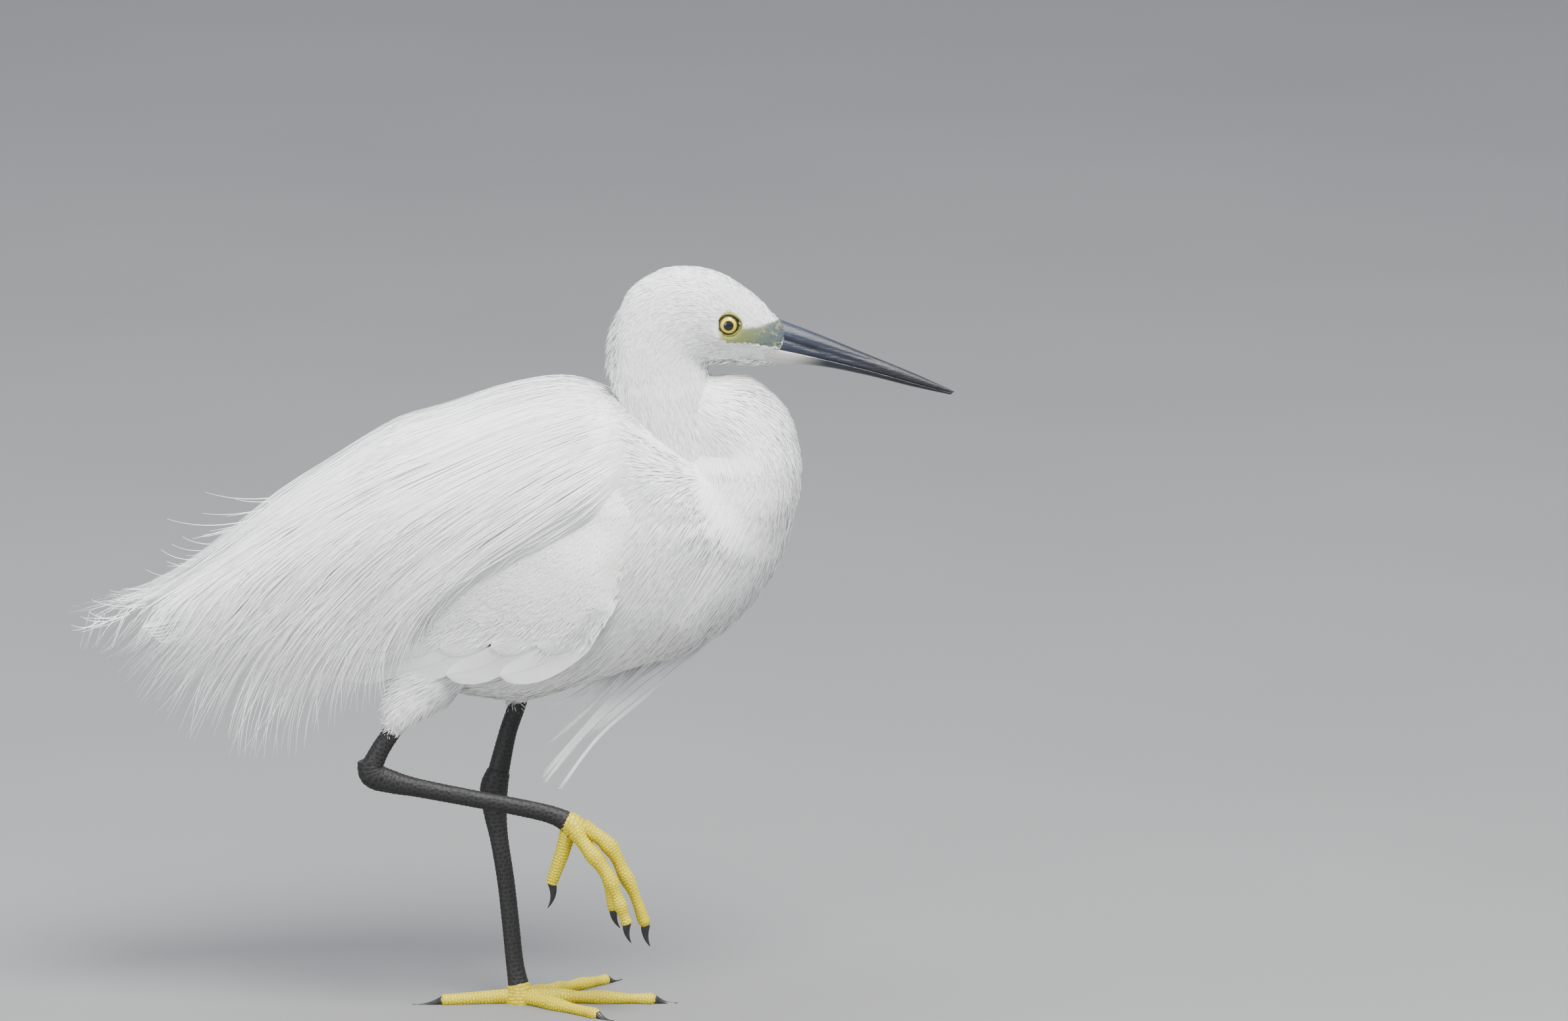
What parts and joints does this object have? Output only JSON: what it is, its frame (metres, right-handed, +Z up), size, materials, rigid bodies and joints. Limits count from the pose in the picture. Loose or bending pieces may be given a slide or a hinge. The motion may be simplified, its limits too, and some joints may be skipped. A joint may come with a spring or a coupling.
{
  "type": "little egret",
  "caption": "Life-size little egret wading on one leg, the other foot lifted, neck folded, with fine plumes over back and breast.",
  "frame": {"origin": "on the floor, under the pad of the standing left foot", "axes": "+X the way the bird faces, +Y to the bird's left, +Z up"},
  "size_m": [0.3878, 0.1118, 0.3404],
  "materials": {
    "plumage": "pure white feathers, soft sheen",
    "bill": "slate-black horn, satin",
    "legs": "matt black scaled skin",
    "feet": "yellow scaled skin",
    "claws": "black horn, satin",
    "eyes": "yellow iris, wet gloss"
  },
  "bodies": {
    "root": {"bill_lower": "bill", "bill_upper": "bill", "claw_left_hind": "claws", "claw_left_inner": "claws", "claw_left_middle": "claws", "claw_left_outer": "claws", "claw_right_hind": "claws", "claw_right_inner": "claws", "claw_right_middle": "claws", "claw_right_outer": "claws", "eye_left": "eyes", "eye_right": "eyes", "head": "plumage", "neck_lower": "plumage", "neck_upper": "plumage", "plumes_back_left": "plumage", "plumes_back_right": "plumage", "plumes_breast": "plumage", "tail": "plumage", "tarsus_left": "legs", "tarsus_right": "legs", "thigh_left": "plumage", "thigh_right": "plumage", "tibia_left": "legs", "tibia_right": "legs", "toe_left_hind": "feet", "toe_left_inner": "feet", "toe_left_middle": "feet", "toe_left_outer": "feet", "toe_right_hind": "feet", "toe_right_inner": "feet", "toe_right_middle": "feet", "toe_right_outer": "feet", "torso": "plumage", "wing_left": "plumage", "wing_right": "plumage"}
  },
  "joints": []
}
